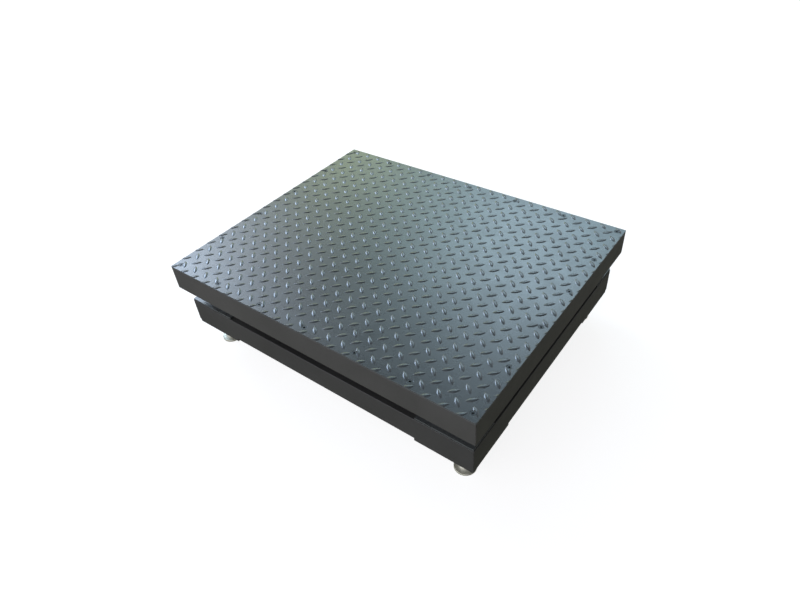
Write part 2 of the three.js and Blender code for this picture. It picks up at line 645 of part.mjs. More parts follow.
/**
 * From the cell's bolted end out onto the long rail, along its top flange to the right cross member, along
 * that and up into the box. The left and right cables run side by side on the cross member.
 */
function cellCable({ name, sx, sy }) {
  const lift = CABLE_RADIUS + 3 * GAP;
  const start = sx * (LOAD_X - CELL_FIXED_END - CELL_STUB_LENGTH - GAP);
  const cellZ = CELL_BOTTOM + CELL_SIDE / 2;
  const railZ = BASE_TOP + lift;
  const memberZ = CROSS_MEMBER_TOP + lift;
  const lane = CROSS_MEMBER_X + sx * ENTRY_SPREAD;
  const flangeEdge = BASE_WIDTH / 2 - CHANNEL_FLANGE;
  const wall = BOX_LENGTH / 2;
  const towards = [
    [start, LOAD_Y, cellZ],
    [start - sx * 12, LOAD_Y, cellZ],
    [start - sx * 34, LOAD_Y + 4, cellZ - 5],
    [start - sx * 60, LOAD_Y + 20, railZ + 9],
    [start - sx * 82, CABLE_RAIL_Y - 8, railZ + 2],
    [start - sx * 110, CABLE_RAIL_Y, railZ + 0.5],
  ];
  const along = [[lane + sx * 42, CABLE_RAIL_Y, railZ]];
  if (sx < 0) along.unshift([-150, CABLE_RAIL_Y, railZ]);
  const down = [
    [lane + sx * 14, CABLE_RAIL_Y - 6, railZ],
    [lane + sx * 2, flangeEdge, railZ],
    [lane, flangeEdge - 20, railZ - 1],
    [lane, flangeEdge - 70, memberZ + 1],
    [lane, 250, memberZ],
    [lane, wall + 90, memberZ],
    [lane, wall + 58, memberZ + 1],
    [lane, wall + 36, memberZ + 6],
    [lane, wall + 18, ENTRY_Z - 3],
    [lane, wall + 6, ENTRY_Z],
    [lane, wall - 12, ENTRY_Z],
  ];
  const points = [...towards, ...along, ...down].map(([x, y, z]) => [x, sy * y, z]);
  return cable(`cell_cable_${name}`, points, sx > 0 ? CABLE_STEPS_SHORT : CABLE_STEPS_LONG);
}

// ---- Assembly ----

const deck = new THREE.Group();
deck.add(deckPlate(), ...railFrame('deck_rail', DECK_LENGTH, DECK_WIDTH, DECK_RAIL_HEIGHT, DECK_BOTTOM));
deck.add(...deckRibs());

const base = new THREE.Group();
base.add(...railFrame('base_rail', BASE_LENGTH, BASE_WIDTH, BASE_RAIL_HEIGHT, FOOT_PLATE_TOP));
base.add(...baseCrossMembers(), junctionBox(), junctionBoxLid(), summingBoard(), outletGland());

for (const corner of CORNERS) {
  deck.add(deckCornerPlate(corner), loadCup(corner));
  base.add(cellMountPlate(corner), loadCell(corner), ballStud(corner), cellCable(corner));
  base.add(footPlate(corner), jamNut(corner), footStud(corner), footPad(corner));
}

const scale = new THREE.Group();
scale.add(base, deck);

export default scale;
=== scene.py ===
"""Looks of the double-deck floor scale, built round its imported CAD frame.

Metres, +X along the long side, +Y to the rear, +Z up, floor at z = 0. Sizes in millimetres are written as a
number times MM.
"""

import math
import random

import bmesh
import bpy
from mathutils import Matrix, Vector


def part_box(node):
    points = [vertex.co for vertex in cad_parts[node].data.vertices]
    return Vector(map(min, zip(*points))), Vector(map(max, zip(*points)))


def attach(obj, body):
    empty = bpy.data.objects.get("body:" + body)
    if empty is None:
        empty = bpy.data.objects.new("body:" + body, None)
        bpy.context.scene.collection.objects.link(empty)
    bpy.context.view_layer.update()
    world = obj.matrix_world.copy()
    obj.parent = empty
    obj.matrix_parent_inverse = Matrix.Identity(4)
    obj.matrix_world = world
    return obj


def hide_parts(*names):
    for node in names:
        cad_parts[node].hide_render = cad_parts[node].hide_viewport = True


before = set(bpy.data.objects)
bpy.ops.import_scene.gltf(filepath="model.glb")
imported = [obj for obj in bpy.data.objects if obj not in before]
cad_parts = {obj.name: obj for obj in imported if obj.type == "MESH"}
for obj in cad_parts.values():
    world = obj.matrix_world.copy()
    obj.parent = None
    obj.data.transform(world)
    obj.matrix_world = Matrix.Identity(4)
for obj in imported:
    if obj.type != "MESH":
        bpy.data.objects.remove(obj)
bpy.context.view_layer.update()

MM = 0.001
CORNERS = {"front_left": (-1, -1), "front_right": (1, -1), "rear_left": (-1, 1), "rear_right": (1, 1)}
SIDES = {"front": 0, "right": 90, "rear": 180, "left": 270}  # each rail, and its turn about Z in degrees
ROUND = 64  # sides of a smooth turned piece


# ---- Camera: it looks down on the front right corner, with a slight roll ----

CAMERA_PLACE = Vector((1.0697, -1.3067, 1.5668))
CAMERA_AIM = Vector((0.0413, -0.0615, 0.200))
CAMERA_ROLL = math.radians(4.77)
CAMERA_LENS = 27.54  # in millimetres, as the sensor's width
CAMERA_SENSOR = 36


def add_camera():
    data = bpy.data.cameras.new("camera")
    data.lens = CAMERA_LENS
    data.sensor_width = CAMERA_SENSOR
    camera = bpy.data.objects.new("camera", data)
    bpy.context.scene.collection.objects.link(camera)
    turn = (CAMERA_AIM - CAMERA_PLACE).to_track_quat("-Z", "Y").to_matrix().to_4x4()
    camera.matrix_world = Matrix.Translation(CAMERA_PLACE) @ turn @ Matrix.Rotation(-CAMERA_ROLL, 4, "Z")
    bpy.context.scene.camera = camera


# ---- Node materials ----


class Tree:
    """A node tree, with short calls for the nodes that materials and the sky share."""

    def __init__(self, tree):
        self.tree = tree

    def add(self, kind, **inputs):
        node = self.tree.nodes.new(kind)
        self.fill(node, **inputs)
        return node

    def fill(self, node, **inputs):
        """Sets inputs by their names, with _ for each space."""
        for key, value in inputs.items():
            self.set(node, key.replace("_", " "), value)

    def set(self, node, key, value):
        socket = node.inputs[key]
        if isinstance(value, bpy.types.NodeSocket):
            self.tree.links.new(value, socket)
        else:
            socket.default_value = value

    def math(self, operation, first, second):
        node = self.tree.nodes.new("ShaderNodeMath")
        node.operation = operation
        self.set(node, 0, first)
        self.set(node, 1, second)
        return node.outputs[0]

    def vector_math(self, operation, first, second):
        node = self.tree.nodes.new("ShaderNodeVectorMath")
        node.operation = operation
        self.set(node, 0, first)
        self.set(node, "Scale" if operation == "SCALE" else 1, second)
        return node.outputs["Value" if operation == "DOT_PRODUCT" else "Vector"]


MATERIALS = {}


class Nodes(Tree):
    """The node tree of a new material, which is kept in MATERIALS under its name."""

    MIX_FIRST, MIX_SECOND, MIX_RESULT = 6, 7, 2  # a Mix node's colour sockets

    def __init__(self, name):
        MATERIALS[name] = bpy.data.materials.new(name)
        MATERIALS[name].use_nodes = True
        super().__init__(MATERIALS[name].node_tree)
        self.shader = self.tree.nodes["Principled BSDF"]
        self.place = self.add("ShaderNodeTexCoord").outputs["Object"]

    def shade(self, **inputs):
        self.fill(self.shader, **inputs)

    def noise(self, scale, detail=3.0, roughness=0.55, stretch=(1, 1, 1)):
        place = self.add("ShaderNodeMapping", Vector=self.place, Scale=stretch).outputs["Vector"]
        node = self.add("ShaderNodeTexNoise", Vector=place, Scale=scale, Detail=detail, Roughness=roughness)
        return node.outputs["Fac"]

    def span(self, value, low, high, to_low=0.0, to_high=1.0):
        """value from low..high carried to to_low..to_high, held at both ends."""
        node = self.add("ShaderNodeMapRange", Value=value, From_Min=low, From_Max=high)
        self.fill(node, To_Min=to_low, To_Max=to_high)
        return node.outputs["Result"]

    def mix(self, share, first, second):
        node = self.tree.nodes.new("ShaderNodeMix")
        node.data_type = "RGBA"
        self.set(node, "Factor", share)
        for index, colour in ((self.MIX_FIRST, first), (self.MIX_SECOND, second)):
            self.set(node, index, colour if isinstance(colour, bpy.types.NodeSocket) else (*colour, 1))
        return node.outputs[self.MIX_RESULT]

    def edges(self, radius):
        """Nearly 0 on flat faces, up to 1 along edges that stand out."""
        bevel = self.add("ShaderNodeBevel", Radius=radius)
        bevel.samples = 4
        geometry = self.add("ShaderNodeNewGeometry")
        likeness = self.vector_math("DOT_PRODUCT", bevel.outputs["Normal"], geometry.outputs["Normal"])
        return self.span(likeness, 0.99, 0.86)

    def bump(self, height, strength, distance):
        node = self.add("ShaderNodeBump", Height=height, Strength=strength, Distance=distance)
        self.set(self.shader, "Normal", node.outputs["Normal"])


def paint(name, dark, light, worn, rough, wear, *, metallic=0.0, coat=0.0, coat_rough=0.22, peel=0.12):
    """Sprayed paint: cloudy colour, orange peel, and edges rubbed towards the worn colour."""
    n = Nodes(name)
    cloud = n.noise(3.5, detail=4)
    grain = n.noise(90, detail=2)
    colour = n.mix(n.span(cloud, 0.35, 0.68), dark, light)
    colour = n.mix(n.span(grain, 0.40, 0.75, 0.0, 0.25), colour, light)
    scuffs = n.span(n.noise(38, detail=6, roughness=0.7), 0.48, 0.62)
    rubbed = n.math("MULTIPLY", n.math("MULTIPLY", n.edges(0.0015), scuffs), wear)
    colour = n.mix(rubbed, colour, worn)
    scratches = n.span(n.noise(7, detail=8, roughness=0.8, stretch=(1.0, 1.0, 14.0)), 0.66, 0.74, 0.0, 0.30)
    colour = n.mix(scratches, colour, worn)
    n.shade(
        Base_Color=colour,
        Roughness=n.span(n.noise(14, detail=5), 0.3, 0.7, rough - 0.06, rough + 0.08),
        Metallic=metallic,
        Coat_Weight=coat,
        Coat_Roughness=coat_rough,
    )
    n.bump(n.noise(260, detail=3), peel, 0.0006)


def metal(name, dark, light, rough, *, scale=26, stretch=(1, 1, 1), metallic=0.9):
    """Plated or ground steel: patchy colour and gloss, with fine marks along one way when stretched."""
    n = Nodes(name)
    patch = n.noise(scale, detail=5)
    marks = n.noise(260, detail=4, stretch=stretch)
    stain = n.span(n.noise(9, detail=3), 0.45, 0.75, 0.0, 0.5)
    colour = n.mix(n.span(patch, 0.3, 0.7), dark, light)
    colour = n.mix(stain, colour, dark)
    gloss = n.span(marks, 0.3, 0.7, rough - 0.07, rough + 0.1)
    n.shade(Base_Color=colour, Metallic=metallic, Roughness=gloss)
    n.bump(marks, 0.10, 0.0005)


def plastic(name, dark, light, rough):
    """Moulded plastic: fine spark-eroded grain and faint dust."""
    n = Nodes(name)
    dust = n.span(n.noise(30, detail=6, roughness=0.7), 0.5, 0.8, 0.0, 0.5)
    n.shade(
        Base_Color=n.mix(dust, dark, light),
        Roughness=n.span(n.noise(60), 0.3, 0.7, rough - 0.05, rough + 0.08),
    )
    n.bump(n.noise(900, detail=2), 0.2, 0.0003)


def circuit_board():
    """Green solder mask, lighter where copper lies under it in square-cornered tracks."""
    n = Nodes("circuit_board")
    tracks = n.add("ShaderNodeTexBrick", Vector=n.place, Scale=90.0, Mortar_Size=0.05, Mortar_Smooth=0.1)
    tracks.offset = 0.35
    copper = n.math("MULTIPLY", tracks.outputs["Fac"], n.span(n.noise(40), 0.45, 0.55))
    n.shade(
        Base_Color=n.mix(copper, (0.012, 0.085, 0.030), (0.035, 0.20, 0.075)),
        Roughness=n.span(n.noise(50), 0.3, 0.7, 0.22, 0.34),
    )
    n.bump(copper, 0.2, 0.0001)


def make_materials():
    """Colours run dark, light and, for paint, worn. After them come the roughness and the amount of wear."""
    paint(
        "deck_paint", (0.080, 0.088, 0.089), (0.100, 0.110, 0.111), (0.30, 0.33, 0.36), 0.27, 0.35,
        metallic=0.2, coat=0.8, coat_rough=0.15, peel=0.30,
    )
    paint(
        "frame_paint", (0.054, 0.054, 0.051), (0.069, 0.068, 0.064), (0.20, 0.20, 0.20), 0.42, 0.7,
        coat=0.22, peel=0.2,
    )
    # The base rails and foot plates get a darker copy of the frame paint: painted shade for the shade that
    # falls under the deck.
    paint(
        "shaded_base_paint", (0.034, 0.034, 0.033), (0.045, 0.045, 0.043), (0.16, 0.16, 0.16), 0.46, 0.7,
        coat=0.3, coat_rough=0.15, peel=0.2,
    )
    paint("inside_paint", (0.022, 0.023, 0.024), (0.036, 0.037, 0.038), (0.10, 0.10, 0.10), 0.58, 0.3)
    paint("box_grey", (0.22, 0.23, 0.235), (0.30, 0.31, 0.315), (0.5, 0.5, 0.5), 0.5, 0.4)
    metal("nickel", (0.46, 0.46, 0.43), (0.66, 0.66, 0.63), 0.32)
    metal("hard_steel", (0.28, 0.29, 0.30), (0.46, 0.47, 0.48), 0.30, stretch=(1, 1, 8))
    metal("zinc", (0.50, 0.49, 0.39), (0.70, 0.69, 0.58), 0.46, scale=60, metallic=0.55)
    paint(
        "painted_screw", (0.050, 0.060, 0.064), (0.074, 0.086, 0.090), (0.16, 0.17, 0.18), 0.40, 0.5,
        metallic=0.2, coat=0.4,
    )
    metal("weld", (0.030, 0.030, 0.031), (0.060, 0.058, 0.056), 0.5, scale=120)
    plastic("nylon", (0.012, 0.013, 0.014), (0.05, 0.05, 0.05), 0.5)
    plastic("cable_jacket", (0.011, 0.011, 0.013), (0.06, 0.06, 0.06), 0.55)
    circuit_board()
    plastic("board_fittings", (0.30, 0.31, 0.33), (0.42, 0.43, 0.44), 0.35)
    plastic("sealant", (0.10, 0.025, 0.020), (0.15, 0.05, 0.045), 0.45)


# ---- Solids: (points, faces) pairs, joined and placed before they become objects ----


def joined(*solids):
    points, faces = [], []
    for more_points, more_faces in solids:
        start = len(points)
        points.extend(more_points)
        faces.extend([tuple(start + i for i in face) for face in more_faces])
    return points, faces


def spin(degrees, axis):
    """Turn about an axis through the origin: 90 about Y carries +Z to +X, -90 about X carries it to +Y."""
    return Matrix.Rotation(math.radians(degrees), 4, axis)


def placed(solid, matrix):
    return [matrix @ Vector(p) for p in solid[0]], solid[1]


def shifted(solid, x, y, z):
    return placed(solid, Matrix.Translation((x, y, z)))


def turned(profile, sides=ROUND):
    """Solid of revolution about Z, from (radius, height) pairs that run upwards from the axis."""
    points, rings = [], []
    for radius, height in profile:
        count = 1 if radius < 1e-7 else sides
        rings.append(range(len(points), len(points) + count))
        for i in range(count):
            angle = 2 * math.pi * i / sides
            points.append(Vector((radius * math.cos(angle), radius * math.sin(angle), height)))
    faces = []
    for low, high in zip(rings, rings[1:]):
        for i in range(sides):
            j = (i + 1) % sides
            if len(low) == 1 and len(high) > 1:
                faces.append((low[0], high[j], high[i]))
            elif len(high) == 1 and len(low) > 1:
                faces.append((low[i], low[j], high[0]))
            elif len(low) > 1:
                faces.append((low[i], low[j], high[j], high[i]))
    return points, faces


def rod(radius, low, high, sides):
    """Upright round bar."""
    return turned([(0, low), (radius, low), (radius, high), (0, high)], sides)


def ring_turned(profile, sides=ROUND):
    """Solid of revolution about Z of a closed outline that stays clear of the axis."""
    return turned([*profile, profile[0]], sides)


def arc(radius, height, start, end, steps, reach=0.0):
    """Points of a profile along an arc whose centre is at (reach, height), angles in degrees."""
    angles = [math.radians(start + (end - start) * i / steps) for i in range(steps + 1)]
    return [(max(0.0, reach + radius * math.cos(a)), height + radius * math.sin(a)) for a in angles]


def prism(outline, low, high):
    """Upright prism on an anticlockwise outline of (x, y) points."""
    count = len(outline)
    points = [Vector((x, y, z)) for z in (low, high) for x, y in outline]
    sides = [(i, (i + 1) % count, count + (i + 1) % count, count + i) for i in range(count)]
    return points, [tuple(reversed(range(count))), tuple(range(count, 2 * count)), *sides]


def regular(radius, sides):
    """Corners of a regular polygon."""
    angles = [2 * math.pi * i / sides for i in range(sides)]
    return [(radius * math.cos(a), radius * math.sin(a)) for a in angles]


def rectangle(half_x, half_y, radius, steps=5):
    """Outline of a rectangle with round corners."""
    outline = []
    for quarter, (sx, sy) in enumerate(((1, 1), (-1, 1), (-1, -1), (1, -1))):
        for i in range(steps + 1):
            angle = math.radians(90 * quarter + 90 * i / steps)
            x = sx * (half_x - radius) + radius * math.cos(angle)
            outline.append((x, sy * (half_y - radius) + radius * math.sin(angle)))
    return outline


def tube_faces(rings, sides):
    """Faces between rings of points that follow one another, closed at both ends."""
    faces = []
    for ring in range(rings - 1):
        for k in range(sides):
            a, b = ring * sides + k, ring * sides + (k + 1) % sides
            faces.append((a, b, b + sides, a + sides))
    last = (rings - 1) * sides
    return [*faces, tuple(reversed(range(sides))), tuple(range(last, last + sides))]


def swept(path, radii, sides):
    """Round bar through the points of path with a radius at each, closed at both ends."""
    points = []
    path = [Vector(p) for p in path]
    across = None
    for i, p in enumerate(path):
        along = (path[min(i + 1, len(path) - 1)] - path[max(i - 1, 0)]).normalized()
        if across is None:
            across = along.orthogonal().normalized()
        across = (across - along * across.dot(along)).normalized()
        up = along.cross(across)
        for k in range(sides):
            angle = 2 * math.pi * k / sides
            points.append(p + radii[i] * (math.cos(angle) * across + math.sin(angle) * up))
    return points, tube_faces(len(path), sides)


# ---- Objects ----


def mesh_object(name, solid):
    mesh = bpy.data.meshes.new(name)
    mesh.from_pydata([tuple(p) for p in solid[0]], [], solid[1])
    obj = bpy.data.objects.new(name, mesh)
    bpy.context.scene.collection.objects.link(obj)
    return obj


def taken(obj):
    """The solid of a helper object, which is removed."""
    solid = [v.co.copy() for v in obj.data.vertices], [tuple(p.vertices) for p in obj.data.polygons]
    bpy.data.objects.remove(obj)
    return solid


def cad_copy(node):
    """A new object with a CAD node's own mesh, to be worked on."""
    obj = bpy.data.objects.new(f"{node}_fine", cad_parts[node].data.copy())
    bpy.context.scene.collection.objects.link(obj)
    return obj


CAD_WELD = 0.02 * MM  # points of a CAD mesh closer than this are one


def open_mesh(obj):
    bm = bmesh.new()
    bm.from_mesh(obj.data)
    return bm


def close_mesh(bm, obj):
    bm.to_mesh(obj.data)
    bm.free()


def tidy_mesh(obj, weld=1e-6):
    """Merges points that coincide and turns every face outwards."""
    bm = open_mesh(obj)
    bmesh.ops.remove_doubles(bm, verts=bm.verts, dist=weld)
    bmesh.ops.dissolve_degenerate(bm, edges=bm.edges, dist=weld)
    bmesh.ops.recalc_face_normals(bm, faces=bm.faces)
    close_mesh(bm, obj)


def bake_modifiers(obj):
    graph = bpy.context.evaluated_depsgraph_get()
    mesh = bpy.data.meshes.new_from_object(obj.evaluated_get(graph))
    obj.modifiers.clear()
    obj.data = mesh


def cut(obj, solid, operation="DIFFERENCE"):
    """Cuts obj by a solid, or keeps only what they share."""
    tool = mesh_object("tool", solid)
    tidy_mesh(tool)
    modifier = obj.modifiers.new("cut", "BOOLEAN")
    modifier.operation = operation
    modifier.solver = "EXACT"
    modifier.object = tool
    bake_modifiers(obj)
    bpy.data.objects.remove(tool)


def round_edges(obj, width, angle=35):
    bevel = obj.modifiers.new("round_edges", "BEVEL")
    bevel.width = width
    bevel.segments = 2
    bevel.limit_method = "ANGLE"
    bevel.angle_limit = math.radians(angle)
    bevel.use_clamp_overlap = True
    bake_modifiers(obj)


def finish_piece(obj, body, slot, *, look=None, smooth=35, replaces=()):
    """Shades a piece, gives it its material and fastens it to its body."""
    obj.data.shade_smooth()
    obj.data.set_sharp_from_angle(angle=math.radians(smooth))
    weighted = obj.modifiers.new("flat_faces_stay_flat", "WEIGHTED_NORMAL")
    weighted.keep_sharp = True
    obj.data.materials.clear()
    obj.data.materials.append(MATERIALS[look or slot])
    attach(obj, body)
    if replaces:
        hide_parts(*replaces)


def make_piece(name, solid, body, slot, *, bevel=0.0, **options):
    obj = mesh_object(name, solid)
    tidy_mesh(obj)
    if bevel:
        round_edges(obj, bevel)
    finish_piece(obj, body, slot, **options)


def remade(node, solid, body, slot, **options):
    """A new shape in the place of one CAD node."""
    make_piece(f"{node}_fine", solid, body, slot, replaces=[node], **options)


def refined(node, body, slot, bevel, look=None):
    """A CAD node's own shape with its edges rounded."""
    obj = cad_copy(node)
    bm = open_mesh(obj)
    bmesh.ops.remove_doubles(bm, verts=bm.verts, dist=CAD_WELD)
    bmesh.ops.dissolve_limit(bm, angle_limit=math.radians(1), verts=bm.verts, edges=bm.edges)
    close_mesh(bm, obj)
    old_shading = obj.data.attributes.get("custom_normal")
    if old_shading:
        obj.data.attributes.remove(old_shading)
    round_edges(obj, bevel)
    finish_piece(obj, body, slot, look=look, replaces=[node])


# ---- Sizes read from the frame ----

PLATE_LOW, PLATE_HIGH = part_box("deck_plate")
HALF_LENGTH = PLATE_HIGH.x
HALF_WIDTH = PLATE_HIGH.y
DECK_TOP = PLATE_HIGH.z
CORNER_RADIUS = 3 * MM  # ground round corners of plate and rails

# ---- Deck plate, its tread and its screws ----

TREAD_PITCH = 54.5 * MM
TREAD_LENGTH = 37 * MM
TREAD_WIDTH = 13.5 * MM
TREAD_HEIGHT = 1.7 * MM
TREAD_START_X = 20 * MM  # first bar in from the right side
TREAD_START_Y = 32 * MM  # first bar in from the front side
TREAD_SPILL = 8 * MM  # bars whose middle is this far past an edge still reach over the plate
PLATE_EDGE = 0.9 * MM  # rounding of the plate's edges, which the bars are cut short of
SCREW_EDGE = 24 * MM
SCREWS_LONG = 7
SCREWS_SHORT = 6
HEAD_RADIUS = 9 * MM
HOLE_RADIUS = 4.5 * MM
SINK_DEPTH = 4.5 * MM
SCREW_LENGTH = 16 * MM
SCREW_SUNK = 0.4 * MM  # head below the top of the plate
SCREW_TURN = 0.37  # radians from one screw to the next, so that their sockets point every way


def screw_centres():
    end_x = HALF_LENGTH - SCREW_EDGE
    end_y = HALF_WIDTH - SCREW_EDGE
    centres = []
    for i in range(SCREWS_LONG):
        x = end_x * (2 * i / (SCREWS_LONG - 1) - 1)
        centres += [(x, -end_y), (x, end_y)]
    for i in range(1, SCREWS_SHORT - 1):
        y = end_y * (2 * i / (SCREWS_SHORT - 1) - 1)
        centres += [(-end_x, y), (end_x, y)]
    return centres


def countersinks():
    over = 3 * MM
    profile = [
        (0, PLATE_LOW.z - over),
        (HOLE_RADIUS, PLATE_LOW.z - over),
        (HOLE_RADIUS, DECK_TOP - SINK_DEPTH),
        (HEAD_RADIUS, DECK_TOP),
        (HEAD_RADIUS, DECK_TOP + over),
        (0, DECK_TOP + over),
    ]
    sink = turned(profile, 32)
    return joined(*[shifted(sink, x, y, 0) for x, y in screw_centres()])


def tread_bar():
    """One raised bar along X: pointed ends, a flattish top and steep sides that run into the plate."""
    around = 20
    root = -0.3 * MM  # the bar starts inside the plate
    flatness = 3.2
    rings = [(1.0, root)]
    for share in (1.0, 0.9, 0.78, 0.62, 0.36):
        rings.append((share, TREAD_HEIGHT * (1 - share**flatness)))
    points = []
    for share, height in rings:
        for i in range(around):
            a = 2 * math.pi * i / around
            pinch = 0.65 * math.sin(a) ** 2 + 0.35 * abs(math.sin(a))
            y = math.copysign(TREAD_WIDTH / 2 * share * pinch, math.sin(a))
            points.append(Vector((TREAD_LENGTH / 2 * share * math.cos(a), y, height)))
    *sides, bottom, _ = tube_faces(len(rings), around)
    last = len(points) - around
    top = [(last + i, last + (i + 1) % around, len(points)) for i in range(around)]
    points.append(Vector((0, 0, TREAD_HEIGHT)))
    return points, [*sides, *top, bottom]


def tread_places():
    """(x, y, turn) of each bar: two square grids, half a pitch apart, leaning opposite ways."""
    places = []
    along = int(2 * HALF_LENGTH / TREAD_PITCH) + 2
    across = int(2 * HALF_WIDTH / TREAD_PITCH) + 2
    for shift, turn in ((0.0, -45), (0.5, 45)):
        for i in range(-1, along):
            for j in range(-1, across):
                x = HALF_LENGTH - TREAD_START_X - (i + shift) * TREAD_PITCH
                y = -HALF_WIDTH + TREAD_START_Y + (j + shift) * TREAD_PITCH
                if abs(x) < HALF_LENGTH + TREAD_SPILL and abs(y) < HALF_WIDTH + TREAD_SPILL:
                    places.append((x, y, math.radians(turn)))
    return places


def deck_plate():
    outline = rectangle(HALF_LENGTH, HALF_WIDTH, CORNER_RADIUS)
    plate = mesh_object("deck_plate_fine", prism(outline, PLATE_LOW.z, DECK_TOP))
    tidy_mesh(plate)
    cut(plate, countersinks())
    round_edges(plate, PLATE_EDGE, angle=40)
    finish_piece(plate, "deck", "deck_paint", replaces=["deck_plate"])


def deck_tread():
    """All the bars in two pieces: the whole ones, and those that an edge or a screw cuts into."""
    bar = tread_bar()
    whole, trimmed = [], []
    centres = screw_centres()
    for x, y, turn in tread_places():
        solid = placed(bar, Matrix.Translation((x, y, DECK_TOP)) @ Matrix.Rotation(turn, 4, "Z"))
        reach = TREAD_LENGTH / 2 * math.cos(turn) + 2 * MM
        at_edge = HALF_LENGTH - abs(x) < reach or HALF_WIDTH - abs(y) < reach
        at_screw = min(math.hypot(x - cx, y - cy) for cx, cy in centres) < HEAD_RADIUS + TREAD_LENGTH / 2
        (trimmed if at_edge or at_screw else whole).append(solid)
    make_piece("deck_tread", joined(*whole), "deck", "deck_paint", smooth=50)
    ends = mesh_object("deck_tread_edges", joined(*trimmed))
    tidy_mesh(ends)
    inside = rectangle(HALF_LENGTH - PLATE_EDGE, HALF_WIDTH - PLATE_EDGE, CORNER_RADIUS)
    cut(ends, prism(inside, PLATE_LOW.z, DECK_TOP + 5 * MM), "INTERSECT")
    cut(ends, countersinks())
    finish_piece(ends, "deck", "deck_paint", smooth=50)


def countersunk_screw():
    """Socket screw with a cone head, its top at z = 0."""
    top = HEAD_RADIUS - 0.4 * MM
    neck = HOLE_RADIUS - 0.5 * MM
    depth = top - neck
    profile = [(0, -SCREW_LENGTH), (neck - 1 * MM, -SCREW_LENGTH), (neck, 1 * MM - SCREW_LENGTH)]
    profile += [(neck, -depth), (top, -0.5 * MM), (top - 0.4 * MM, 0), (0, 0)]
    head = mesh_object("screw", turned(profile, 40))
    tidy_mesh(head)
    cut(head, prism(regular(3.9 * MM, 6), -3.4 * MM, 2 * MM))
    return taken(head)


def deck_screws():
    screw = countersunk_screw()
    copies = []
    for i, (x, y) in enumerate(screw_centres()):
        turn = Matrix.Rotation(SCREW_TURN * i, 4, "Z")
        copies.append(placed(screw, Matrix.Translation((x, y, DECK_TOP - SCREW_SUNK)) @ turn))
    make_piece("deck_screws", joined(*copies), "deck", "hard_steel", look="painted_screw", smooth=30)


# ---- Frame rails ----

RAIL_WALL = 5 * MM
RAIL_FLANGE = 42 * MM
RAIL_EDGE = 1.2 * MM  # outer edges of the rolled section
RAIL_FILLET = 5 * MM  # between web and flanges
RAIL_TIP = 2.2 * MM  # inner edge of each flange


def rail_section(height):
    """Rolled channel, web on the left: (depth, height) points, anticlockwise."""
    e, f, t = RAIL_EDGE, RAIL_FILLET, RAIL_TIP
    wall, flange = RAIL_WALL, RAIL_FLANGE
    lower = arc(e, e, 180, 270, 3, e)
    lower += [(flange, 0)]
    lower += arc(t, wall - t, 0, 90, 3, flange - t)
    lower += arc(f, wall + f, 270, 180, 4, wall + f)
    upper = [(depth, height - z) for depth, z in reversed(lower)]
    return lower + upper


def rail(node, body):
    """One mitred rail, its outer corners ground to a radius where it meets its neighbours."""
    low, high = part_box(node)
    side = node.rsplit("_", 1)[1]
    along_x = side in ("front", "rear")
    size = high - low
    half = (size.x if along_x else size.y) / 2 + 0.2 * MM
    offset = max(abs(low.y), abs(high.y)) if along_x else max(abs(low.x), abs(high.x))
    section = rail_section(size.z)
    radius = CORNER_RADIUS
    stations = [math.radians(45 * k / 4) for k in range(5)]
    stations = [(-1, a) for a in reversed(stations)] + [(1, a) for a in stations]
    points = []
    for end, angle in stations:
        reach = half - radius + radius * math.sin(angle)
        face = radius - radius * math.cos(angle)
        for depth, z in section:
            depth = max(depth, face)
            x = end * min(reach, half - depth)
            points.append(Vector((x, depth - offset, low.z + z)))
    count = len(section)
    last = (len(stations) - 1) * count
    faces = [tuple(range(count)), tuple(reversed(range(last, last + count)))]
    for s in range(len(stations) - 1):
        for k in range(count):
            a, b = s * count + k, s * count + (k + 1) % count
            faces.append((a, a + count, b + count, b))
    solid = placed((points, faces), spin(SIDES[side], "Z"))
    # The base rails take the darker copy of the frame paint, a painted shade.
    look = "shaded_base_paint" if body == "base" else "frame_paint"
    remade(node, solid, body, "frame_paint", look=look, smooth=30)


# ---- Weld beads ----

WELD_STEP = 1.6 * MM  # between the ripples of a bead
WELD_KNOTS = 12  # stretches of a bead, at whose ends its size is drawn at random
MITRE_BEAD = 3 * MM  # radius of the beads up the mitres, and so on
FLANGE_BEAD = 2.2 * MM
PLATE_BEAD = 2.4 * MM
END_BEAD = 2 * MM
DECK_FRAME_SEED, BASE_FRAME_SEED, DECK_STITCH_SEED, BASE_STITCH_SEED = 100, 300, 500, 900


def weld_bead(start, end, radius, seed):
    """Rippled bead from start to end, its size wandering a little."""
    start, end = Vector(start), Vector(end)
    length = (end - start).length
    count = max(6, int(length / (WELD_STEP / 3)))
    source = random.Random(seed)
    knots = [source.uniform(0.9, 1.1) for _ in range(WELD_KNOTS + 1)]
    path, radii = [], []
    for i in range(count + 1):
        share = i / count
        ripple = 1 + 0.10 * abs(math.sin(math.pi * share * length / WELD_STEP))
        taper = min(1.0, 0.45 + 3.0 * min(share, 1 - share) * length / (6 * radius))
        knot = min(WELD_KNOTS - 1, int(WELD_KNOTS * share))
        wander = knots[knot] + (knots[knot + 1] - knots[knot]) * (WELD_KNOTS * share - knot)
        path.append(start.lerp(end, share))
        radii.append(radius * ripple * taper * wander)
    return swept(path, radii, 10)


